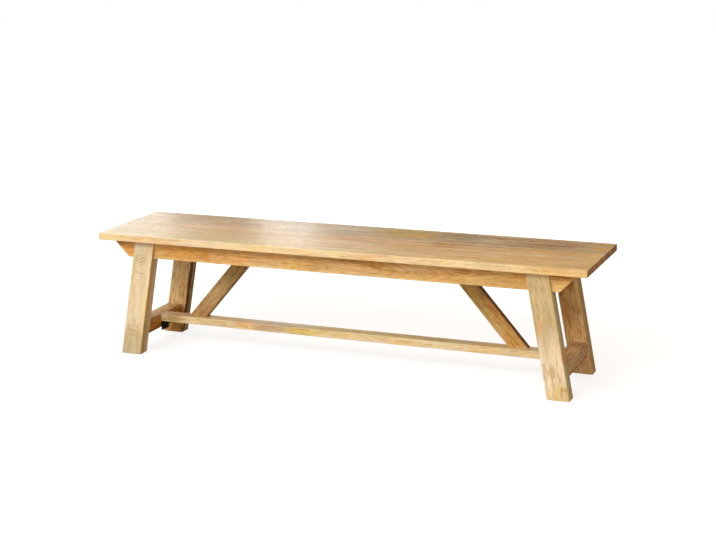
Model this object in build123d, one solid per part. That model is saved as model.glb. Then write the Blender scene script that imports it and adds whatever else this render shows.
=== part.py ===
from build123d import *
import os
from math import cos, radians, tan

os.makedirs("parts", exist_ok=True)

# A splay-legged bench in solid wood. X runs along the seat, the front faces -Y and Z is up.
# The origin is on the floor under the middle of the seat. Lengths are in millimetres.

# Seat: one panel of boards glued edge to edge.
seat_length = 1790.0
seat_width = 417.0
seat_thickness = 24.0
seat_height = 450.0
seat_board_count = 5
seat_edge_radius = 2.0

# Rounding of the arrises of every piece of the frame, but not of the shoulders at its joints.
arris_radius = 1.5

# Legs: they lean outwards along X only. Their width is square across the leg.
leg_width = 75.0
leg_thickness = 48.0
leg_splay_degrees = 10.5
leg_setback = 27.0
foot_inset = 56.0

# Aprons: each runs through an open slot in the tops of two legs.
apron_depth = 64.0
apron_thickness = 24.0
apron_reveal = 12.0
apron_end_inset = 37.0
apron_end_degrees = 44.0

# Cross rails: each joins a front leg to a rear leg near the floor, with a blind tenon in each.
rail_width = 59.0
rail_depth = 48.0
rail_top_height = 112.5
rail_tenon_width = 24.0
rail_tenon_depth = 34.0
rail_tenon_length = 32.0

# Stretcher: it butts against the inner faces of the cross rails, a little above their top.
stretcher_width = 48.0
stretcher_depth = 27.0
stretcher_rise = 1.0

# Braces: they rise from the stretcher towards the middle of the seat, a little behind its middle line.
brace_width = 52.0
brace_thickness = 28.0
brace_setback = 6.5
brace_lean_degrees = 41.0
brace_foot_inset = 145.5

# Bearers: flat battens under the seat, two between the legs and two over the braces.
bearer_width = 70.0
bearer_thickness = 24.0
bearer_housing_depth = 6.0

# Angle brackets that hold the stretcher to the cross rails, folded from steel strip.
bracket_width = 50.0
bracket_leaf = 35.0
bracket_steel = 3.0
bracket_bend_radius = 2.0
bracket_corner_radius = 6.0
bracket_screw_spacing = 30.0
bracket_screw_edge_distance = 12.0

# Dowels that hold the end bearers to the legs and pin the apron joints.
dowel_diameter = 8.0
dowel_in_apron = 12.0
dowel_in_bearer = 16.0
dowel_spacing = 40.0

# Countersunk wood screws, which hold the bearers to the seat and the braces in place.
wood_screw_diameter = 5.0
wood_screw_head_diameter = 10.0
wood_screw_head_height = 3.0
wood_screw_point = 6.0
seat_screw_length = 40.0
seat_screw_shares = (-0.8, -0.25, 0.25, 0.8)
brace_screw_length = 60.0

# Round-headed screws, which hold the brackets.
bracket_screw_diameter = 4.0
bracket_screw_head_diameter = 8.0
bracket_screw_head_height = 2.5
bracket_screw_point = 5.0
bracket_rail_screw_length = 30.0
bracket_stretcher_screw_length = 20.0

# Heights that the pieces share.
seat_underside = seat_height - seat_thickness
apron_underside = seat_underside - apron_depth
bearer_underside = seat_underside - bearer_thickness
rail_underside = rail_top_height - rail_depth
stretcher_top = rail_top_height + stretcher_rise
stretcher_underside = stretcher_top - stretcher_depth

# Places across the bench, measured from its middle.
leg_outer_y = seat_width / 2 - leg_setback
leg_middle_y = leg_outer_y - leg_thickness / 2
leg_inner_y = leg_outer_y - leg_thickness
apron_outer_y = leg_outer_y - apron_reveal
apron_middle_y = apron_outer_y - apron_thickness / 2
apron_inner_y = apron_outer_y - apron_thickness

# Places along the bench, measured from its middle.
leg_lean = tan(radians(leg_splay_degrees))
leg_level_width = leg_width / cos(radians(leg_splay_degrees))
foot_outer_x = seat_length / 2 - foot_inset
rail_outer_x = foot_outer_x - rail_top_height * leg_lean
rail_inner_x = rail_outer_x - rail_width
rail_middle_x = rail_outer_x - rail_width / 2
end_bearer_middle_z = seat_underside - bearer_thickness / 2
end_bearer_x = foot_outer_x - leg_level_width / 2 - end_bearer_middle_z * leg_lean
brace_lean = tan(radians(brace_lean_degrees))
brace_level_width = brace_width / cos(radians(brace_lean_degrees))
brace_foot_x = rail_inner_x - brace_foot_inset
brace_top_x = brace_foot_x - (bearer_underside - stretcher_top) * brace_lean


def block(x_from, x_to, y_from, y_to, z_from, z_to):
    """A squared piece between two places on each axis."""
    middle = Pos((x_from + x_to) / 2, (y_from + y_to) / 2, (z_from + z_to) / 2)
    return middle * Box(x_to - x_from, y_to - y_from, z_to - z_from)


def plank(outline, thickness, middle_y=0):
    """A piece sawn to an outline of (x, z) points, with its thickness across the bench."""
    face = Plane.XZ * make_face(Polyline(*outline, close=True))
    return Pos(0, middle_y, 0) * extrude(face, amount=thickness / 2, both=True)


def ease(piece):
    """Round the four arrises along a piece, which are its longest edges."""
    return fillet(piece.edges().sort_by(SortBy.LENGTH)[-4:], arris_radius)


def ease_all_round(piece):
    """Round every arris of a piece."""
    return fillet(piece.edges(), arris_radius)


def mirrored_along(pieces):
    """Pieces at the right end, followed by their mirror images at the left end."""
    return pieces + [mirror(piece, about=Plane.YZ) for piece in pieces]


def mirrored_across(pieces):
    """Pieces at the rear, followed by their mirror images at the front."""
    return pieces + [mirror(piece, about=Plane.XZ) for piece in pieces]


def wood_screw(length):
    """A countersunk screw that points up, with the flat of its head at height zero."""
    shank = wood_screw_diameter / 2
    profile = Polyline(
        (0, 0),
        (wood_screw_head_diameter / 2, 0),
        (shank, wood_screw_head_height),
        (shank, length - wood_screw_point),
        (0, length),
        close=True,
    )
    return revolve(Plane.XZ * make_face(profile), axis=Axis.Z)


def dome_radius():
    """The radius of the round-headed screws' domes, from their rim and height."""
    rim = bracket_screw_head_diameter / 2
    return (rim**2 + bracket_screw_head_height**2) / (2 * bracket_screw_head_height)


def bracket_screw(length):
    """A round-headed screw that points up, with its head below height zero."""
    shank = bracket_screw_diameter / 2
    rim = (bracket_screw_head_diameter / 2, 0)
    crown = (0, -bracket_screw_head_height)
    dome = RadiusArc(crown, rim, -dome_radius())
    shaft = Polyline(rim, (shank, 0), (shank, length - bracket_screw_point), (0, length), crown)
    return revolve(Plane.XZ * make_face([dome, shaft]), axis=Axis.Z)


def seat_boards(screws):
    """The seat panel, eased all round and divided at its glue lines, front board first."""
    panel = block(
        -seat_length / 2, seat_length / 2, -seat_width / 2, seat_width / 2, seat_underside, seat_height
    )
    panel = fillet(panel.edges(), seat_edge_radius)
    board_width = seat_width / seat_board_count
    boards = []
    for place in range(seat_board_count):
        front_y = place * board_width - seat_width / 2
        strip = block(
            -seat_length / 2, seat_length / 2, front_y, front_y + board_width, seat_underside, seat_height
        )
        boards.append((panel & strip) - screws)
    return boards


def apron():
    """The rear apron, its ends cut back from the seat's underside."""
    top_x = seat_length / 2 - apron_end_inset
    bottom_x = top_x - apron_depth * tan(radians(apron_end_degrees))
    outline = [
        (-bottom_x, apron_underside),
        (bottom_x, apron_underside),
        (top_x, seat_underside),
        (-top_x, seat_underside),
    ]
    return ease_all_round(plank(outline, apron_thickness, apron_middle_y))


def leg():
    """The right rear leg: a leaning post with a level foot and a level top."""
    top_outer_x = foot_outer_x - seat_underside * leg_lean
    outline = [
        (foot_outer_x - leg_level_width, 0),
        (foot_outer_x, 0),
        (top_outer_x, seat_underside),
        (top_outer_x - leg_level_width, seat_underside),
    ]
    return ease_all_round(plank(outline, leg_thickness, leg_middle_y))


def apron_slot():
    """The open slot that the rear apron fills in the top of a leg."""
    return block(
        -seat_length / 2, seat_length / 2, apron_inner_y, apron_outer_y, apron_underside, seat_underside
    )


def rail_tenon():
    """The tenon at the rear end of the right cross rail, which is also the shape of its mortise."""
    middle_z = rail_top_height - rail_depth / 2
    return block(
        rail_middle_x - rail_tenon_width / 2,
        rail_middle_x + rail_tenon_width / 2,
        leg_inner_y,
        leg_inner_y + rail_tenon_length,
        middle_z - rail_tenon_depth / 2,
        middle_z + rail_tenon_depth / 2,
    )


def cross_rail(screws):
    """The right cross rail, shouldered between the legs, with a tenon at each end."""
    rail = ease(
        block(rail_inner_x, rail_outer_x, -leg_inner_y, leg_inner_y, rail_underside, rail_top_height)
    )
    return rail + mirrored_across([rail_tenon()]) - screws


def stretcher(screws):
    """The long rail between the cross rails."""
    beam = block(
        -rail_inner_x,
        rail_inner_x,
        -stretcher_width / 2,
        stretcher_width / 2,
        stretcher_underside,
        stretcher_top,
    )
    return ease(beam) - screws


def brace(screws):
    """The right brace: level cuts seat it on the stretcher and under its bearer."""
    half_width = brace_level_width / 2
    outline = [
        (brace_foot_x - half_width, stretcher_top),
        (brace_foot_x + half_width, stretcher_top),
        (brace_top_x + half_width, bearer_underside),
        (brace_top_x - half_width, bearer_underside),
    ]
    return ease(plank(outline, brace_thickness, brace_setback)) - screws


def end_bearer(fixings):
    """The right end bearer, cut to fit between the inner faces of the legs."""
    batten = block(
        end_bearer_x - bearer_width / 2,
        end_bearer_x + bearer_width / 2,
        -leg_inner_y,
        leg_inner_y,
        bearer_underside,
        seat_underside,
    )
    return batten - fixings


def brace_bearer():
    """The bearer over the right brace, with its ends let into the aprons."""
    end_y = apron_inner_y + bearer_housing_depth
    return block(
        brace_top_x - bearer_width / 2,
        brace_top_x + bearer_width / 2,
        -end_y,
        end_y,
        bearer_underside,
        seat_underside,
    )


def angle_bracket(screws):
    """The right bracket: one leaf on the cross rail's inner face, one under the stretcher."""
    half_steel = bracket_steel / 2
    leaf_middle_x = rail_inner_x - half_steel
    leaf_middle_z = stretcher_underside - half_steel
    fold = FilletPolyline(
        (leaf_middle_x, stretcher_underside - bracket_leaf),
        (leaf_middle_x, leaf_middle_z),
        (rail_inner_x - bracket_leaf, leaf_middle_z),
        radius=bracket_bend_radius + half_steel,
    )
    section = Plane.XZ * trace(fold, bracket_steel)
    strip = extrude(section, amount=bracket_width / 2, both=True)
    rail_leaf_corners = strip.edges().filter_by(Axis.X).sort_by(Axis.Z)[:2]
    stretcher_leaf_corners = strip.edges().filter_by(Axis.Z).sort_by(Axis.X)[:2]
    strip = fillet(rail_leaf_corners + stretcher_leaf_corners, bracket_corner_radius)
    return strip - screws


def bearer_dowels():
    """The two dowels at the rear end of the right end bearer."""
    length = dowel_in_apron + apron_inner_y - leg_inner_y + dowel_in_bearer
    dowel = Cylinder(dowel_diameter / 2, length, align=(Align.CENTER, Align.CENTER, Align.MIN))
    end_y = apron_inner_y + dowel_in_apron
    return [
        Pos(end_bearer_x + side * dowel_spacing / 2, end_y, end_bearer_middle_z) * Rot(90, 0, 0) * dowel
        for side in (-1, 1)
    ]


def seat_screws(bearer_x):
    """The screws that rise through one bearer into the seat."""
    screw = wood_screw(seat_screw_length)
    return [Pos(bearer_x, share * leg_inner_y, bearer_underside) * screw for share in seat_screw_shares]


def brace_screws():
    """The right brace's two screws, one up through the stretcher and one down through the bearer."""
    screw = wood_screw(brace_screw_length)
    foot_bite = brace_screw_length - stretcher_depth
    top_bite = brace_screw_length - bearer_thickness
    foot_x = brace_foot_x - foot_bite / 2 * brace_lean
    top_x = brace_top_x + top_bite / 2 * brace_lean
    return [
        Pos(foot_x, brace_setback, stretcher_underside) * screw,
        Pos(top_x, brace_setback, seat_underside) * Rot(180, 0, 0) * screw,
    ]


def bracket_screws():
    """The right bracket's four screws, two into the cross rail and two into the stretcher."""
    into_rail = Rot(0, 90, 0) * bracket_screw(bracket_rail_screw_length)
    into_stretcher = bracket_screw(bracket_stretcher_screw_length)
    rail_screw_z = (stretcher_underside + rail_underside) / 2
    stretcher_screw_x = rail_inner_x - bracket_leaf + bracket_screw_edge_distance
    screws = []
    for y in (-bracket_screw_spacing / 2, bracket_screw_spacing / 2):
        screws.append(Pos(rail_inner_x - bracket_steel, y, rail_screw_z) * into_rail)
        screws.append(Pos(stretcher_screw_x, y, stretcher_underside - bracket_steel) * into_stretcher)
    return screws


# Fixings are made first, because each wooden piece is bored to fit them.
right_end_dowels = mirrored_across(bearer_dowels())
right_seat_screws = seat_screws(end_bearer_x) + seat_screws(brace_top_x)
all_seat_screws = mirrored_along(right_seat_screws)
all_brace_screws = mirrored_along(brace_screws())
all_bracket_screws = mirrored_along(bracket_screws())

nodes = {
    "bearer_dowels": Compound(children=mirrored_along(right_end_dowels)),
    "seat_screws": Compound(children=all_seat_screws),
    "brace_screws": Compound(children=all_brace_screws),
    "bracket_screws": Compound(children=all_bracket_screws),
    "stretcher": stretcher(all_brace_screws + all_bracket_screws),
}

for number, board in enumerate(seat_boards(all_seat_screws), start=1):
    nodes[f"seat_board_{number}"] = board

right_end_pieces = {
    "cross_rail": cross_rail(bracket_screws()),
    "stretcher_bracket": angle_bracket(bracket_screws()),
    "brace": brace(brace_screws()),
    "end_bearer": end_bearer(right_seat_screws + right_end_dowels),
    "brace_bearer": brace_bearer() - right_seat_screws - brace_screws(),
}
for name, piece in right_end_pieces.items():
    nodes[f"{name}_right"] = piece
    nodes[f"{name}_left"] = mirror(piece, about=Plane.YZ)

right_leg = leg() - apron_slot() - rail_tenon() - bearer_dowels()
left_leg = mirror(right_leg, about=Plane.YZ)
housings = mirrored_along([brace_bearer()] + bearer_dowels())
rear_pieces = {"leg_{}_right": right_leg, "leg_{}_left": left_leg, "apron_{}": apron() - housings}
for name, piece in rear_pieces.items():
    nodes[name.format("rear")] = piece
    nodes[name.format("front")] = mirror(piece, about=Plane.XZ)

for name, shape in nodes.items():
    export_step(shape, f"parts/{name}.step")
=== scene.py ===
from math import radians

import bpy
from mathutils import Euler, Matrix, Vector


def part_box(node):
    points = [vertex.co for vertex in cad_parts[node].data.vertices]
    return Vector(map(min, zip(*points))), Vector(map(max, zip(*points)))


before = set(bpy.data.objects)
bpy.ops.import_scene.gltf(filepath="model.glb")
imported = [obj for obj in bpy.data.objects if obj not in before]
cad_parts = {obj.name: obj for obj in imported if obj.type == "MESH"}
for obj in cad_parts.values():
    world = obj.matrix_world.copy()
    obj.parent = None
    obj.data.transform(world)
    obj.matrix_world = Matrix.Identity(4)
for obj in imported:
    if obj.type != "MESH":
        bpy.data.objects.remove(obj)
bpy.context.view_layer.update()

# Legs: four splayed posts of solid hardwood, 75 by 48 mm, cut level at the top and the foot.
# Each is sawn from its own board, so no two match: the front pair is pale, the rear pair darker.
# They are oiled by hand, and their arrises are rubbed paler by use.


class Finish:
    """The look of a material, or of the world: its nodes are added and joined one after another."""

    def __init__(self, owner, shader="Principled BSDF"):
        owner.use_nodes = True
        self.owner = owner
        self.tree = owner.node_tree
        self.shader = self.tree.nodes[shader]

    def join(self, socket, value):
        """Feeds a socket from another node, or sets it to a number, a place or a colour."""
        if isinstance(value, bpy.types.NodeSocket):
            self.tree.links.new(value, socket)
        elif socket.type == "RGBA":
            socket.default_value = (*value, 1.0)
        else:
            socket.default_value = value

    def give(self, settings):
        """Sets the shader itself, by the names of its sockets."""
        for socket, value in settings.items():
            self.join(self.shader.inputs[socket], value)

    def add(self, kind, inputs, **settings):
        """Adds one node and gives back its outputs, for the next node to take."""
        node = self.tree.nodes.new("ShaderNode" + kind)
        for setting, value in settings.items():
            setattr(node, setting, value)
        for socket, value in inputs.items():
            self.join(node.inputs[socket], value)
        return node.outputs

    def number(self, how, first, second=0.0, third=0.0):
        """A sum with numbers, such as ADD or MULTIPLY."""
        return self.add("Math", {0: first, 1: second, 2: third}, operation=how)[0]

    def vector(self, how, first, second=(0.0, 0.0, 0.0), third=(0.0, 0.0, 0.0)):
        """The same sum for places and colours. A length or a dot product comes out as a number."""
        outputs = self.add("VectorMath", {0: first, 1: second, 2: third}, operation=how)
        return outputs["Value"] if how in ("LENGTH", "DOT_PRODUCT") else outputs["Vector"]

    def fade(self, value, start, end, low=0.0, high=1.0):
        """Low up to the start, high from the end on, and a smooth change between them."""
        settings = {"Value": value, "From Min": start, "From Max": end, "To Min": low, "To Max": high}
        return self.add("MapRange", settings, interpolation_type="SMOOTHSTEP")["Result"]

    def cloud(self, place, stretch, detail=2.0):
        """Noise in space, with so many patches per metre along each axis."""
        inputs = {"Vector": self.vector("MULTIPLY", place, stretch), "Scale": 1.0, "Detail": detail}
        return self.add("TexNoise", inputs)

    def bands(self, value, detail):
        """Noise along a line, with about one band for each step of one."""
        inputs = {"W": value, "Scale": 1.0, "Detail": detail}
        return self.add("TexNoise", inputs, noise_dimensions="1D")["Fac"]

    def mix(self, share, first, second, how="MIX"):
        """A share of the second colour over the first."""
        inputs = {0: share, 6: first, 7: second}
        return self.add("Mix", inputs, data_type="RGBA", blend_type=how)[2]

    def ramp(self, value, stops):
        """Colours that follow a value, given as (value, colour) pairs."""
        outputs = self.add("ValToRGB", {"Fac": value})
        band = outputs[0].node.color_ramp
        while len(band.elements) < len(stops):
            band.elements.new(0.5)
        for element, (position, colour) in zip(band.elements, stops):
            element.position = position
            element.color = (*colour, 1.0)
        return outputs["Color"]

    def tint(self, colour, cloud, start, end, strength, tints):
        """Three tints over a colour, each where its own channel of the cloud is high."""
        channels = self.add("SeparateColor", {0: cloud["Color"]})
        for channel, tint in zip(channels, tints):
            share = self.fade(channel, start, end, 0.0, strength)
            colour = self.mix(share, colour, tint, "MULTIPLY")
        return colour


def shade(code):
    """A colour written as #rrggbb, in the linear numbers that a shader takes."""
    numbers = []
    for start in (1, 3, 5):
        part = int(code[start : start + 2], 16) / 255
        numbers.append(part / 12.92 if part <= 0.04045 else ((part + 0.055) / 1.055) ** 2.4)
    return tuple(numbers)


class Timber(Finish):
    """Wood for one CAD node, cut from its own stretch of a log.

    The turn lays the grain along X. Places are in metres, from the middle of the piece."""

    def __init__(self, node, turn, seed):
        super().__init__(bpy.data.materials.new(node + "_wood"))
        low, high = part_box(node)
        middle = Euler(turn).to_matrix() @ ((low + high) / 2)
        texture = self.add("TexCoord", {})
        mapping = {"Vector": texture["Object"], "Rotation": turn, "Location": -middle}
        self.place = self.add("Mapping", mapping)[0]
        stretch_of_log = (seed * 3.7, seed * 1.3, seed * 2.1)
        self.own = self.vector("ADD", self.place, stretch_of_log)

        # The log isn't straight: its heart wanders by so much, and the fibres follow it.
        wander = 0.05
        sway = self.vector("SUBTRACT", self.grain(self.own, 1.3, 4.0, 1.0)["Color"], (0.5, 0.5, 0.5))
        self.path = self.vector("MULTIPLY_ADD", sway, (0.0, wander, wander), self.place)
        self.own_path = self.vector("ADD", self.path, stretch_of_log)

        # The marks in the wood, from the broadest to the finest.
        self.streak = self.grain(self.own_path, 1.6, 45.0, 3.0)["Fac"]
        self.fleck = self.grain(self.own_path, 35.0, 190.0, 3.0)["Fac"]
        self.fibre = self.grain(self.own_path, 9.0, 420.0, 3.0)["Fac"]
        self.pore = self.fade(self.grain(self.own_path, 80.0, 2300.0, 1.0)["Fac"], 0.6, 0.72)

        # End grain is every face that looks along the grain.
        inputs = {"Vector": texture["Normal"], "Rotation": turn}
        facing = self.add("Mapping", inputs, vector_type="NORMAL")[0]
        along = self.add("SeparateXYZ", {0: facing})["X"]
        self.end = self.fade(self.number("ABSOLUTE", along), 0.72, 0.95)

    def grain(self, place, along, across, detail=2.0):
        """A cloud with so many patches per metre along the grain, and across it."""
        return self.cloud(place, (along, across, across), detail)

    def tone(self, heart, figure, flecks):
        """How light the wood is: rings round the heart of the log, and the marks over them."""
        ring_width = 0.004
        across = self.vector("SUBTRACT", self.path, (0.0, *heart))
        across = self.vector("MULTIPLY", across, (0.0, 1.0, 1.0))
        rings = self.number("DIVIDE", self.vector("LENGTH", across), ring_width)
        weights = (
            (self.bands(rings, 3.0), 0.5 * figure),
            (self.streak, 0.5 * figure),
            (self.fleck, flecks),
            (self.fibre, 0.6),
        )
        tone = 0.5 + 0.03 * figure
        for mark, weight in weights:
            tone = self.number("ADD", self.number("MULTIPLY_ADD", mark, weight, -0.5 * weight), tone)
        late_wood = self.fade(self.number("FRACT", rings), 0.55, 1.0)
        return self.number("SUBTRACT", tone, self.number("MULTIPLY", late_wood, 0.06 * figure))

    def stain_and_paint_light(self, ground, stains_and_painted_light):
        """Soft patches of another shade, each with its middle, its reach along the three axes, its
        colour and its strength: stains in the wood, and in some places painted light and shade. It is
        full at the core, gone at the rim, and ragged between."""
        raggedness, rim, core = 1.2, 1.15, 0.35
        ragged = self.number("SUBTRACT", self.number("ADD", self.fleck, self.streak), 1.0)
        ragged = self.number("MULTIPLY", ragged, raggedness)
        for middle, reach, code, strength in stains_and_painted_light:
            away = self.vector("DIVIDE", self.vector("SUBTRACT", self.place, middle), reach)
            away = self.number("ADD", self.vector("LENGTH", away), ragged)
            ground = self.mix(self.fade(away, rim, core, 0.0, strength), ground, shade(code))
        return ground

    def mottled(self, colour, mottle):
        """Wide, faint tints that follow the fibres, and smaller orange, olive and grey ones."""
        wide = (shade("#ffefdc"), shade("#f8f5da"), shade("#f0eeee"))
        colour = self.tint(colour, self.grain(self.own_path, 5.0, 17.0), 0.48, 0.68, 0.7, wide)
        orange, olive, grey = (1.09, 0.98, 0.86), (1.0, 1.035, 0.87), (0.95, 0.93, 1.02)
        blotches = self.grain(self.own, 20.0, 55.0)
        return self.tint(colour, blotches, 0.48, 0.62, mottle, (orange, olive, grey))

    def arched(self, colour, arches, line_shade):
        """Nested lines where the saw crossed the rings at a slant: the peak, the reach, the axis
        that runs through the board, the pitch of the lines, their slope and their strength."""
        bluntness, waver = 0.5, 0.9
        for peak, reach, through, pitch, slope, strength in arches:
            from_peak = self.vector("SUBTRACT", self.place, peak)
            along = self.add("SeparateXYZ", {0: from_peak})["X"]
            sideways = (0.0, 0.0, 1.0) if through == "y" else (0.0, 1.0, 0.0)
            blunt = bluntness * pitch
            blunt = (0.0, blunt, 0.0) if through == "y" else (0.0, 0.0, blunt)
            aside = self.vector("LENGTH", self.vector("MULTIPLY_ADD", from_peak, sideways, blunt))
            rise = self.number("SUBTRACT", along, self.number("MULTIPLY", aside, slope))
            step = self.number("DIVIDE", rise, pitch)
            step = self.number("ADD", step, self.number("MULTIPLY", self.fleck, waver))
            off = self.number("ABSOLUTE", self.number("SUBTRACT", self.number("FRACT", step), 0.5))
            near = self.vector("LENGTH", self.vector("DIVIDE", from_peak, reach))
            near = self.fade(near, 1.0, 0.5, 0.0, strength)
            line = self.number("MULTIPLY", self.fade(off, 0.2, 0.5), near)
            colour = self.mix(line, colour, line_shade, "MULTIPLY")
        return colour

    def oiled_ends(self, colour):
        """End grain drinks more oil, so it is darker, and its growth rings show as dark bands."""
        years_per_metre, soaked = (0.0, 80.0, 50.0), 0.85
        years = self.bands(self.vector("DOT_PRODUCT", self.own, years_per_metre), 2.0)
        oiled = self.ramp(years, [(0.42, shade("#705628")), (0.58, shade("#f8d080"))])
        return self.mix(self.number("MULTIPLY", self.end, soaked), colour, oiled, "MULTIPLY")

    def worn(self, colour, palest):
        """Handling pales the arrises, here more and there less."""
        arris_radius = 0.003
        eased = self.add("Bevel", {"Radius": arris_radius}, samples=4)[0]
        sharp = self.add("NewGeometry", {})["Normal"]
        arris = self.fade(self.vector("DOT_PRODUCT", eased, sharp), 0.99, 0.8)
        patchy = self.fade(self.grain(self.own, 18.0, 60.0)["Fac"], 0.35, 0.65, 0.1, 0.55)
        return self.mix(self.number("MULTIPLY", arris, patchy), colour, palest)

    def planed(self, relief):
        """The shallow waves that a plane leaves, with fine open grain on them."""
        wave_depth, furrow_depth = 0.0012 * relief, 0.0002 * relief
        wave = self.grain(self.own, 2.5, 14.0, 1.0)["Fac"]
        face = self.add("Bump", {"Strength": 1.0, "Distance": wave_depth, "Height": wave})[0]
        furrow = self.number("SUBTRACT", self.number("MULTIPLY", self.fibre, 0.8), self.pore)
        fine = {"Strength": 0.7, "Distance": furrow_depth, "Height": furrow, "Normal": face}
        return self.add("Bump", fine)[0]

    def dull(self, roughness):
        """Fibres differ a little in gloss, and pores and end grain are duller."""
        uneven, duller = 0.25, 0.2
        fibres = self.number("MULTIPLY_ADD", self.fibre, uneven, roughness - uneven / 2)
        thirsty = self.number("MAXIMUM", self.pore, self.end)
        return self.number("ADD", fibres, self.number("MULTIPLY", thirsty, duller))


def dress(node, finish):
    """Gives a CAD node its finish."""
    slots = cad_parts[node].data.materials
    slots.clear()
    slots.append(finish.owner)


def dress_in_wood(
    node,
    turn,
    shades,
    heart,
    seed,
    figure=1.0,
    flecks=1.0,
    mottle=0.4,
    stains_and_painted_light=(),
    arches=(),
    roughness=0.5,
    specular=0.02,
    relief=1.0,
):
    """Gives a CAD node wood of a dark, a plain and a pale shade. The heart is where the middle of
    the log lies across the grain. Figure, flecks and mottle say how bold the marks are."""
    wood = Timber(node, turn, seed)
    dark, plain, pale = (shade(code) for code in shades)
    # The marks darken and pale the ground, with its stains and painted light, by the ratios of the three
    # shades.
    darkest = [part / top for part, top in zip(dark, pale)]
    middling = [part / top for part, top in zip(plain, pale)]
    gain = [top / part for part, top in zip(plain, pale)]
    palest = wood.vector("MULTIPLY", wood.stain_and_paint_light(plain, stains_and_painted_light), gain)
    tones = [(0.22, darkest), (0.5, middling), (0.78, (1.0, 1.0, 1.0))]
    colour = wood.vector("MULTIPLY", wood.ramp(wood.tone(heart, figure, flecks), tones), palest)
    colour = wood.mottled(colour, mottle)
    colour = wood.arched(colour, arches, [0.8 * part for part in darkest])
    colour = wood.mix(wood.number("MULTIPLY", wood.pore, 0.3), colour, dark, "MULTIPLY")
    colour = wood.worn(wood.oiled_ends(colour), palest)
    wood.give({
        "Base Color": colour,
        "Roughness": wood.dull(roughness),
        "Normal": wood.planed(relief),
        "Specular IOR Level": specular,
    })
    dress(node, wood)


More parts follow.
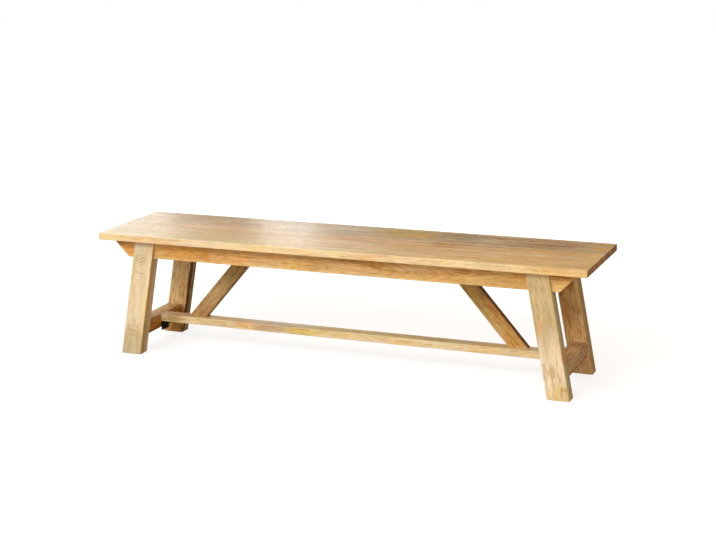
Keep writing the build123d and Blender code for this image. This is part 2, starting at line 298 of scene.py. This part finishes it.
# Places on a leg run up it, then to the rear, then to the left. Only its front and its right
# side have stains, painted light and arches of their own.
leg_width, leg_depth, leg_splay = 0.075, 0.048, radians(10.5)
leg_front, leg_side = -leg_depth / 2, -leg_width / 2
leg_turns = {"left": (0, radians(90) - leg_splay, 0), "right": (0, radians(90) + leg_splay, 0)}
leg_looks = {
    "leg_front_left": {
        "shades": ("#bfb294", "#e4d7ba", "#eee4cc"),
        "heart": (0.03, -0.02), "seed": 1, "figure": 0.45, "flecks": 0.35, "mottle": 0.25,
        "stains_and_painted_light": [
            ((0.19, leg_front, 0.0), (0.07, 0.03, 0.09), "#d8ccb6", 0.9),
            ((-0.20, leg_front, 0.0), (0.11, 0.03, 0.09), "#c9ba94", 0.9),
            # Painted highlight: a paler, yellower strip down the front face by its right arris, where
            # that arris catches the light.
            ((0.02, leg_front, -0.03), (0.20, 0.03, 0.012), "#f0deb0", 0.5),
            ((0.10, leg_front, 0.033), (0.10, 0.03, 0.012), "#cdc49c", 0.5),
            ((0.03, leg_front, 0.022), (0.05, 0.03, 0.012), "#ecca9c", 0.5),
            ((0.0, -0.016, leg_side), (0.5, 0.02, 0.004), "#deb872", 0.9),
            ((0.0, 0.014, leg_side), (0.5, 0.02, 0.004), "#e6d0b8", 0.9),
            ((-0.16, -0.016, leg_side), (0.10, 0.02, 0.004), "#c6b484", 0.8),
        ],
        "arches": [
            ((0.147, leg_front, 0.008), (0.028, 0.02, 0.028), "y", 0.012, 1.0, 0.8),
            ((0.096, leg_front, 0.004), (0.014, 0.02, 0.026), "y", 0.014, 0.5, 0.5),
            ((-0.130, leg_front, 0.002), (0.035, 0.02, 0.036), "y", 0.018, -0.4, 0.4),
        ],
    },
    "leg_front_right": {
        "shades": ("#a48e60", "#cdb88b", "#dfcfa8"),
        "heart": (0.05, 0.03), "seed": 2, "figure": 0.5, "flecks": 0.6, "mottle": 0.4,
        "stains_and_painted_light": [
            ((-0.13, leg_front, 0.0), (0.15, 0.03, 0.09), "#f4e2c8", 0.95),
            ((0.042, leg_front, 0.019), (0.035, 0.03, 0.014), "#dcb284", 0.8),
            ((-0.20, leg_front, 0.0), (0.05, 0.03, 0.09), "#e4cc9c", 0.8),
            ((-0.122, leg_front, 0.012), (0.03, 0.02, 0.02), "#d2b486", 0.8),
            ((-0.18, leg_front, -0.020), (0.01, 0.02, 0.006), "#dca468", 0.7),
            ((-0.182, leg_front, -0.031), (0.007, 0.02, 0.004), "#a87840", 0.7),
            ((0.0, -0.014, leg_side), (0.5, 0.02, 0.003), "#dccc9c", 0.9),
            ((0.0, 0.016, leg_side), (0.5, 0.02, 0.003), "#bcac86", 0.9),
            ((-0.08, 0.0, leg_side), (0.05, 0.06, 0.003), "#d2a468", 0.8),
        ],
    },
    "leg_rear_left": {
        "shades": ("#a68458", "#d6b88c", "#e8d2ac"),
        "heart": (-0.03, 0.04), "seed": 3, "figure": 0.7, "flecks": 1.2, "mottle": 0.6,
        "stains_and_painted_light": [
            ((0.14, leg_front, 0.0), (0.07, 0.03, 0.06), "#a29896", 0.9),
            ((-0.20, leg_front, 0.0), (0.08, 0.05, 0.06), "#a87c3c", 0.9),
            # The right side is darker towards its front: near black in its front half, a mid brown in its
            # rear half.
            ((0.0, 0.017, leg_side), (0.5, 0.016, 0.004), "#94764c", 0.9),
            ((0.0, -0.013, leg_side), (0.5, 0.022, 0.004), "#684208", 0.95),
        ],
    },
    "leg_rear_right": {
        "shades": ("#a07646", "#d4ad76", "#e6c898"),
        "heart": (-0.04, -0.03), "seed": 4, "figure": 0.55, "flecks": 0.8, "mottle": 0.7,
        "stains_and_painted_light": [
            ((0.14, leg_front, 0.0), (0.07, 0.03, 0.06), "#945b27", 0.95),
            ((0.075, leg_front, -0.03), (0.04, 0.03, 0.014), "#b4945c", 0.8),
            ((0.02, leg_front, -0.004), (0.035, 0.03, 0.014), "#c0a078", 0.7),
            ((0.004, leg_front, 0.02), (0.03, 0.03, 0.012), "#cf8c50", 0.7),
            ((0.0, leg_front, -0.031), (0.30, 0.03, 0.011), "#ecc694", 0.8),
            ((0.0, leg_front, -0.026), (0.02, 0.03, 0.008), "#cf8c50", 0.6),
            ((-0.18, leg_front, 0.0), (0.07, 0.03, 0.09), "#e8c08c", 0.8),
            ((0.0, 0.0, leg_side), (0.5, 0.06, 0.003), "#c2a26e", 0.95),
        ],
    },
}
for leg, look in leg_looks.items():
    dress_in_wood(leg, leg_turns[leg.split("_")[-1]], **look)

# Cross rails: one between the two legs at each end, 59 by 48 mm, near the floor.
# They are of the same hardwood, tenoned blind into the legs and glued.
# Places on a rail run to the rear, then to the left, then up.
across_turn = (0, 0, radians(-90))
# Both lie just outside the wood, so that a stain stops at the next face.
rail_side, rail_top = -0.03, 0.026
rail_looks = {
    "cross_rail_left": {
        "shades": ("#a07846", "#d6b27a", "#e6c89c"), "heart": (0.02, 0.04), "seed": 5,
        "stains_and_painted_light": [
            ((0.0, rail_side, 0.0), (0.4, 0.012, 0.05), "#c0842c", 0.95),
            ((0.0, rail_side, -0.020), (0.4, 0.012, 0.012), "#8c5c20", 0.7),
            ((0.0, rail_side, 0.013), (0.4, 0.012, 0.007), "#dca878", 0.6),
        ],
    },
    "cross_rail_right": {
        "shades": ("#9c7040", "#d8b084", "#e2bc90"), "heart": (0.03, -0.03), "seed": 6,
        "stains_and_painted_light": [
            ((0.0, 0.0, rail_top), (0.5, 0.1, 0.005), "#e2bd94", 0.95),
            ((0.10, 0.0, rail_top), (0.06, 0.1, 0.005), "#cca474", 0.9),
            ((0.0, rail_side, -0.022), (0.4, 0.012, 0.010), "#a87440", 0.8),
        ],
    },
}
for rail, look in rail_looks.items():
    dress_in_wood(rail, across_turn, **look, mottle=0.6)

# Stretcher: one long rail, 48 by 27 mm, that ties the two end frames together.
# It is butted against the cross rails, and an angle bracket under each end holds it.
# Places on it, as on the aprons and the seat, run to the right, then to the rear, then up.
along_turn = (0, 0, 0)
stretcher_width, stretcher_thickness = 0.048, 0.027
stretcher_front, stretcher_top = -stretcher_width / 2, stretcher_thickness / 2
stretcher_look = {
    "shades": ("#c4a878", "#ebd5aa", "#f4e6ca"),
    "heart": (0.03, 0.05), "seed": 7, "figure": 0.7, "flecks": 0.65, "mottle": 0.6,
    "stains_and_painted_light": [
        ((-0.71, stretcher_front, 0.0), (0.05, 0.02, 0.03), "#d0b67c", 0.8),
        ((-0.55, stretcher_front, 0.0), (0.08, 0.02, 0.03), "#d8c294", 0.8),
        ((-0.42, stretcher_front, 0.0), (0.05, 0.02, 0.03), "#f0c898", 0.6),
        ((-0.31, stretcher_front, 0.0), (0.08, 0.02, 0.03), "#ccae92", 0.85),
        ((-0.18, stretcher_front, 0.0), (0.09, 0.02, 0.03), "#ecd482", 0.85),
        ((0.35, 0.0, stretcher_top), (0.50, 0.06, 0.004), "#d4be98", 0.8),
        ((-0.25, 0.0, stretcher_top), (0.20, 0.06, 0.004), "#dfd0bc", 0.7),
        ((-0.72, 0.0, stretcher_top), (0.09, 0.06, 0.004), "#f0c8a4", 0.8),
        ((-0.61, 0.0, stretcher_top), (0.05, 0.03, 0.004), "#ccb882", 0.6),
        ((-0.12, 0.0, stretcher_top), (0.05, 0.03, 0.004), "#dccb84", 0.4),
        ((0.34, -0.005, stretcher_top), (0.06, 0.03, 0.004), "#ccb66c", 0.8),
    ],
}
dress_in_wood("stretcher", along_turn, **stretcher_look)

# Angle brackets: black strips of folded steel, 3 mm thick, one under each end of the stretcher.
# Each is held by four round-headed screws with the same black powder coat.
coat = Finish(bpy.data.materials.new("black_powder_coat"))
spot = coat.add("TexCoord", {})["Object"]
orange_peel = coat.cloud(spot, (900.0, 900.0, 900.0))["Fac"]
chalky = coat.cloud(spot, (60.0, 60.0, 60.0), 3.0)["Fac"]
coat.give({
    "Base Color": coat.mix(chalky, shade("#100804"), shade("#1c1008")),
    "Roughness": coat.fade(chalky, 0.3, 0.7, 0.45, 0.65),
    "Specular IOR Level": 0.02,
    "Normal": coat.add("Bump", {"Strength": 0.5, "Distance": 0.0001, "Height": orange_peel})[0],
})
for node in ("stretcher_bracket_left", "stretcher_bracket_right", "bracket_screws"):
    dress(node, coat)

# Aprons: two boards on edge, 64 by 24 mm, that carry the seat, with ends cut back at an angle.
# Each fills the open slots in the tops of two legs, glued and pinned with dowels.
apron_thickness = 0.024
apron_face = -apron_thickness / 2
apron_shades = ("#a2743c", "#d5ae78", "#e6c694")
apron_looks = {
    "apron_front": {
        "heart": (0.05, 0.02), "seed": 8,
        "stains_and_painted_light": [
            # Painted light: the front apron is paler towards its lower edge, standing in for the brighter
            # light below the seat's shade.
            ((0.0, 0.0, -0.034), (3.0, 0.2, 0.018), "#e8ca94", 0.85),
            ((-0.56, apron_face, 0.0), (0.14, 0.03, 0.05), "#dca254", 0.7),
            ((-0.39, apron_face, 0.0), (0.09, 0.03, 0.05), "#e0b478", 0.6),
            ((-0.08, apron_face, 0.0), (0.10, 0.03, 0.05), "#c8a064", 0.5),
            ((-0.21, apron_face, 0.012), (0.05, 0.03, 0.014), "#d08848", 0.45),
            ((-0.14, apron_face, -0.010), (0.06, 0.03, 0.020), "#e0b864", 0.4),
            ((-0.80, apron_face, 0.0), (0.06, 0.03, 0.06), "#e8ae6a", 0.85),
            # Painted shadow: the top of the left cut end is darker, where the seat shades it.
            ((-0.83, apron_face, 0.026), (0.06, 0.03, 0.018), "#ae7c52", 0.8),
            ((0.62, apron_face, 0.0), (0.12, 0.03, 0.05), "#d2a55e", 0.7),
            ((0.80, apron_face, -0.010), (0.06, 0.03, 0.04), "#e6c280", 0.8),
            # Painted shadow: the top of the right cut end is darker, where the seat shades it.
            ((0.80, apron_face, 0.028), (0.06, 0.03, 0.012), "#a8843c", 0.8),
        ],
        "arches": [
            ((0.30, apron_face, -0.006), (0.22, 0.03, 0.04), "y", 0.05, -6.0, 0.25),
        ],
    },
    "apron_rear": {"heart": (-0.04, 0.03), "seed": 9},
}
for apron, look in apron_looks.items():
    dress_in_wood(apron, along_turn, apron_shades, **look, figure=0.65, flecks=0.6, mottle=0.5)

# Bearers: flat battens of sawn hardwood across the underside, two at the ends and two over the braces.
# The end ones are dowelled between the legs, and the others are let into the aprons.
bearer_shades, dowel_shades = ("#8a6a42", "#b89465", "#cfb084"), ("#b08d5e", "#d0b080", "#e0c69c")
bearer_heart = (0.03, 0.04)
bearers = ("end_bearer_left", "end_bearer_right", "brace_bearer_left", "brace_bearer_right")
for seed, bearer in enumerate(bearers, 10):
    dress_in_wood(bearer, across_turn, bearer_shades, bearer_heart, seed, roughness=0.75)
dress_in_wood("bearer_dowels", across_turn, dowel_shades, bearer_heart, 14)

# Braces: two slanting struts, 52 by 28 mm, from the stretcher up to their bearers.
# Their ends are cut level, and a long countersunk screw holds each of them.
# Places on a brace run up it, then to the rear, then to the left.
brace_width, brace_thickness, brace_lean = 0.052, 0.028, radians(41)
brace_front, brace_side = -brace_thickness / 2, -brace_width / 2
brace_turns = {
    "brace_left": (0, radians(90) - brace_lean, 0),
    "brace_right": (0, radians(90) + brace_lean, 0),
}
brace_looks = {
    "brace_left": {
        "shades": ("#866a40", "#b49868", "#c9ae82"), "heart": (0.04, 0.02), "seed": 15,
        "stains_and_painted_light": [
            ((0.12, brace_front, 0.0), (0.09, 0.03, 0.05), "#a0804c", 0.7),
            ((-0.15, brace_front, 0.0), (0.06, 0.03, 0.05), "#b08c5c", 0.7),
            ((0.0, -0.008, brace_side), (0.5, 0.010, 0.003), "#a88450", 0.9),
            ((0.0, 0.009, brace_side), (0.5, 0.010, 0.003), "#8c6c44", 0.9),
            # Painted shade: the rear half of the right side, which faces down, is near black for most of
            # its length.
            ((-0.05, 0.007, brace_side), (0.26, 0.011, 0.003), "#3c2206", 0.95),
        ],
    },
    "brace_right": {
        "shades": ("#86643a", "#c0a068", "#d2b482"), "heart": (0.03, -0.04), "seed": 16,
        "stains_and_painted_light": [
            ((0.13, brace_front, 0.0), (0.06, 0.03, 0.05), "#9c7844", 0.7),
            ((-0.05, brace_front, -0.014), (0.08, 0.03, 0.016), "#cc8c48", 0.5),
            ((-0.15, brace_front, 0.0), (0.07, 0.03, 0.04), "#c8934a", 0.7),
            ((0.0, -0.009, brace_side), (0.5, 0.010, 0.003), "#bc7c34", 0.9),
            # Painted shade: the rear half of the right side is near black, and the whole side near black
            # in its upper part, where the seat shades it.
            ((0.0, 0.008, brace_side), (0.5, 0.011, 0.003), "#4c2c08", 0.95),
            ((0.14, 0.0, brace_side), (0.12, 0.05, 0.003), "#442806", 0.95),
        ],
    },
}
for brace, look in brace_looks.items():
    dress_in_wood(brace, brace_turns[brace], **look, figure=0.8, flecks=0.9, mottle=0.7)

# Seat: five boards, 24 mm thick, glued edge to edge into one panel and lightly polished.
# Each board has its own tone and figure, and screws through the bearers hold the panel down.
board_width = 0.0834
front_edge = -board_width / 2
polish = {"roughness": 0.25, "specular": 0.015, "relief": 0.35}
seat_looks = {
    "seat_board_1": {
        "shades": ("#ac9064", "#d2be98", "#dfcfac"),
        "heart": (0.02, -0.05), "seed": 20, "figure": 0.9, "flecks": 0.6,
        "stains_and_painted_light": [
            ((-0.90, 0.0, 0.0), (0.28, 0.3, 0.3), "#cabe9a", 0.7),
            ((1.10, 0.0, 0.0), (1.15, 0.3, 0.3), "#d8b070", 0.95),
            ((-0.33, 0.0, 0.0), (0.33, 0.3, 0.3), "#c2aa70", 0.9),
            ((0.50, -0.03, 0.0), (0.50, 0.02, 0.3), "#e6c890", 0.5),
            # Painted light: the front edge is paler than the top, standing in for the strong light that
            # falls on it; the patches along it vary that paler tone.
            ((0.0, front_edge, 0.0), (3.0, 0.009, 0.05), "#e8d0a4", 0.95),
            ((-0.62, front_edge, 0.0), (0.3, 0.009, 0.05), "#ead4b4", 0.8),
            ((0.12, front_edge, 0.0), (0.3, 0.009, 0.05), "#f2dab0", 0.8),
            ((0.85, front_edge, 0.0), (0.2, 0.009, 0.05), "#e4bc84", 0.8),
        ],
        "arches": [
            ((0.85, 0.0, 0.012), (0.12, 0.04, 0.03), "z", 0.012, 1.5, 0.25),
        ],
    },
    "seat_board_2": {
        "shades": ("#a6885a", "#ccb088", "#dac29c"),
        "heart": (-0.03, -0.06), "seed": 21, "figure": 0.9, "flecks": 0.8,
        "stains_and_painted_light": [
            ((-0.90, 0.0, 0.0), (0.28, 0.3, 0.3), "#c0b08a", 0.7),
            ((1.10, 0.0, 0.0), (1.15, 0.3, 0.3), "#d6ae70", 0.95),
            ((-0.42, 0.0, 0.0), (0.20, 0.3, 0.3), "#be9e62", 0.9),
            ((0.40, 0.010, 0.0), (0.12, 0.018, 0.05), "#c49c62", 0.6),
            ((0.58, 0.036, 0.0), (0.30, 0.007, 0.05), "#e6ca98", 0.8),
        ],
    },
    "seat_board_3": {
        "shades": ("#a07e4e", "#c5a477", "#d8ba8c"),
        "heart": (0.01, -0.04), "seed": 22, "figure": 0.9, "flecks": 0.8,
        "stains_and_painted_light": [
            ((-0.90, 0.0, 0.0), (0.28, 0.3, 0.3), "#b8a47a", 0.7),
            ((0.72, 0.0, 0.0), (0.25, 0.04, 0.05), "#d2a656", 0.8),
            ((0.772, -0.014, 0.0), (0.03, 0.014, 0.05), "#c07c34", 0.85),
            ((0.88, 0.0, 0.0), (0.04, 0.2, 0.05), "#d8ae68", 0.8),
            ((0.18, -0.010, 0.0), (0.13, 0.05, 0.05), "#d2ac84", 0.7),
            ((0.25, 0.0, 0.0), (0.08, 0.06, 0.05), "#d8b688", 0.8),
            ((0.366, 0.0, 0.0), (0.09, 0.05, 0.05), "#c48e4a", 0.85),
            ((0.007, -0.010, 0.0), (0.10, 0.045, 0.05), "#c08e4c", 0.8),
            ((-0.15, 0.0, 0.0), (0.14, 0.08, 0.05), "#bba476", 0.7),
            ((-0.43, 0.0, 0.0), (0.16, 0.08, 0.05), "#be9a58", 0.7),
            ((-0.46, 0.003, 0.0), (0.07, 0.04, 0.05), "#c89658", 0.7),
            ((-0.66, 0.0, 0.0), (0.10, 0.06, 0.05), "#d2b488", 0.8),
            ((-0.525, -0.020, 0.0), (0.06, 0.035, 0.05), "#ccac68", 0.7),
        ],
    },
    "seat_board_4": {
        "shades": ("#8c744a", "#b49a6e", "#c8ae84"),
        "heart": (0.03, -0.05), "seed": 23, "figure": 1.2, "flecks": 1.1,
        "stains_and_painted_light": [
            ((-0.78, 0.0, 0.0), (0.10, 0.08, 0.05), "#c0a578", 0.9),
            ((-0.50, 0.0, 0.0), (0.18, 0.08, 0.05), "#b48f50", 0.8),
            ((-0.642, -0.012, 0.0), (0.07, 0.035, 0.05), "#c0a88c", 0.6),
            ((-0.33, 0.0, 0.0), (0.08, 0.06, 0.05), "#bea67c", 0.7),
            ((-0.04, 0.0, 0.0), (0.12, 0.08, 0.05), "#9a8050", 0.7),
            ((0.16, 0.028, 0.0), (0.14, 0.06, 0.05), "#bc9c4c", 0.9),
            ((0.222, 0.034, 0.0), (0.05, 0.04, 0.05), "#cea444", 0.8),
            ((0.38, 0.0, 0.0), (0.12, 0.06, 0.05), "#a89270", 0.85),
            ((0.65, 0.0, 0.0), (0.17, 0.06, 0.05), "#a88248", 0.9),
            ((0.714, 0.028, 0.0), (0.09, 0.04, 0.05), "#966c2e", 0.8),
            ((0.87, 0.03, 0.0), (0.05, 0.06, 0.05), "#d0a044", 0.9),
        ],
        "arches": [
            ((0.62, 0.02, 0.012), (0.18, 0.04, 0.03), "z", 0.014, 1.3, 0.3),
        ],
    },
    "seat_board_5": {
        "shades": ("#88704a", "#b0996e", "#c4ad84"),
        "heart": (-0.02, -0.06), "seed": 24, "figure": 1.2, "flecks": 1.1,
        "stains_and_painted_light": [
            ((-0.58, 0.0, 0.0), (0.16, 0.10, 0.05), "#9c7c3c", 0.8),
            ((-0.12, 0.02, 0.0), (0.24, 0.06, 0.05), "#9c8860", 0.7),
            ((0.14, 0.0, 0.0), (0.12, 0.06, 0.05), "#b89a48", 0.9),
            ((0.222, -0.025, 0.0), (0.05, 0.03, 0.05), "#cea444", 0.8),
            ((0.38, -0.01, 0.0), (0.12, 0.06, 0.05), "#a08a64", 0.9),
            ((0.65, 0.0, 0.0), (0.15, 0.06, 0.05), "#ac884c", 0.85),
            ((0.507, -0.008, 0.0), (0.04, 0.025, 0.05), "#b07a44", 0.85),
            ((0.766, -0.03, 0.0), (0.045, 0.022, 0.05), "#b47c44", 0.8),
            ((0.87, 0.0, 0.0), (0.06, 0.10, 0.05), "#bc9450", 0.9),
        ],
    },
}
for board, look in seat_looks.items():
    dress_in_wood(board, along_turn, **look, **polish, mottle=0.5)

# Wood screws: plain countersunk steel screws with a pale zinc plating.
# They hold the seat to its bearers and the braces at both ends, and only their heads show.
plating = Finish(bpy.data.materials.new("zinc_plating"))
spot = plating.add("TexCoord", {})["Object"]
turning_marks = plating.cloud(spot, (300.0, 300.0, 2500.0), 3.0)["Fac"]
tarnish = plating.cloud(spot, (150.0, 150.0, 150.0), 3.0)["Fac"]
plating.give({
    "Base Color": plating.mix(tarnish, shade("#d8d2bc"), shade("#a8a190")),
    "Roughness": plating.fade(turning_marks, 0.3, 0.7, 0.28, 0.5),
    "Metallic": 1.0,
})
for node in ("seat_screws", "brace_screws"):
    dress(node, plating)

# Floor: a plain pale studio floor that fades into a white surround.
# The camera and clear reflections see it near white, and it keeps the bench's own soft shadow.


def in_view(finish):
    """One where the camera or a reflection looks, and zero where light only bounces."""
    ray = finish.add("LightPath", {})
    mirrored = finish.number("MAXIMUM", ray["Is Glossy Ray"], ray["Is Transmission Ray"])
    return finish.number("MAXIMUM", ray["Is Camera Ray"], mirrored)


white = (1.0, 1.0, 1.0)
floor_reach = 14.0
floor_mesh = bpy.data.meshes.new("floor")
corners = [(floor_reach * x, floor_reach * y, 0) for x, y in ((-1, -1), (1, -1), (1, 1), (-1, 1))]
floor_mesh.from_pydata(corners, [], [(0, 1, 2, 3)])
floor = bpy.data.objects.new("floor", floor_mesh)
bpy.context.scene.collection.objects.link(floor)
paint = Finish(bpy.data.materials.new("floor_paint"))
seen = in_view(paint)
distance = paint.vector("LENGTH", paint.add("TexCoord", {})["Object"])
shadow_reach, full_white, glow_under_bench = 0.8, 2.2, 0.8
glow = paint.fade(distance, shadow_reach, full_white, glow_under_bench, 1.0)
paint.give({
    "Base Color": paint.mix(seen, shade("#a08e70"), (0.35, 0.35, 0.35)),
    "Roughness": 1.0,
    "Specular IOR Level": 0.0,
    "Emission Color": white,
    "Emission Strength": paint.number("MULTIPLY", seen, glow),
})
floor_mesh.materials.append(paint.owner)

# Studio: a large soft key light high at the front left, a low fill light at the front right, a
# weak one overhead, and windows behind, which the polished seat mirrors as its two bright bands.
# The surround is white to look at, and lights the bench like a warm, dimmer room.
air = Finish(bpy.data.worlds.new("surround"), "Background")
bpy.context.scene.world = air.owner
seen = in_view(air)
warm, dim = (1.0, 0.84, 0.62), 0.45
air.give({"Color": air.mix(seen, warm, white), "Strength": air.fade(seen, 0.0, 1.0, dim, 1.0)})


def soft_light(name, place, target, width, height, power):
    """A square panel of light that faces a point. The camera doesn't see the panel itself."""
    lamp = bpy.data.lights.new(name, "AREA")
    lamp.shape = "RECTANGLE"
    lamp.size = width
    lamp.size_y = height
    lamp.energy = power
    panel = bpy.data.objects.new(name, lamp)
    bpy.context.scene.collection.objects.link(panel)
    panel.location = place
    panel.rotation_euler = (Vector(target) - Vector(place)).to_track_quat("-Z", "Y").to_euler()
    panel.visible_camera = False


soft_light("key", (-1.8, -4.6, 3.6), (0.0, 0.0, 0.3), width=4.5, height=1.8, power=225.0)
soft_light("fill", (1.8, -5.2, 0.9), (0.0, 0.0, 0.3), width=3.0, height=1.2, power=75.0)
soft_light("overhead", (-0.3, -0.9, 3.2), (0.0, 0.0, 0.4), width=3.0, height=1.6, power=14.0)
window_distance, window_middle, window_height = 3.0, 0.94, 0.56
windows = {
    "left": (-2.76, 0.68, 9.6),
    "wall": (-2.13, 0.58, 2.0),
    "right": (-1.65, 0.36, 5.0),
    "edge": (-1.29, 0.36, 1.6),
}
for name, (x, width, power) in windows.items():
    place, target = (x, window_distance, window_middle), (x, 0.0, window_middle)
    soft_light("window_" + name, place, target, width, window_height, power)

# Camera: a long lens at the photograph's place, a little above the seat and to the right.
camera_target = Vector((0.0263, 0.0, 0.338))
camera_distance = 5.2833
camera_azimuth = radians(22.505)
camera_elevation = radians(13.526)
camera_roll = radians(-0.826)
lens = bpy.data.cameras.new("camera")
lens.lens = 75.757
lens.sensor_width = 36.0
camera = bpy.data.objects.new("camera", lens)
bpy.context.scene.collection.objects.link(camera)
facing = Matrix.Rotation(camera_azimuth, 4, "Z") @ Matrix.Rotation(radians(90) - camera_elevation, 4, "X")
camera.matrix_world = (
    Matrix.Translation(camera_target)
    @ facing
    @ Matrix.Rotation(camera_roll, 4, "Z")
    @ Matrix.Translation((0.0, 0.0, camera_distance))
)
bpy.context.scene.camera = camera
bpy.context.scene.view_settings.view_transform = "Standard"
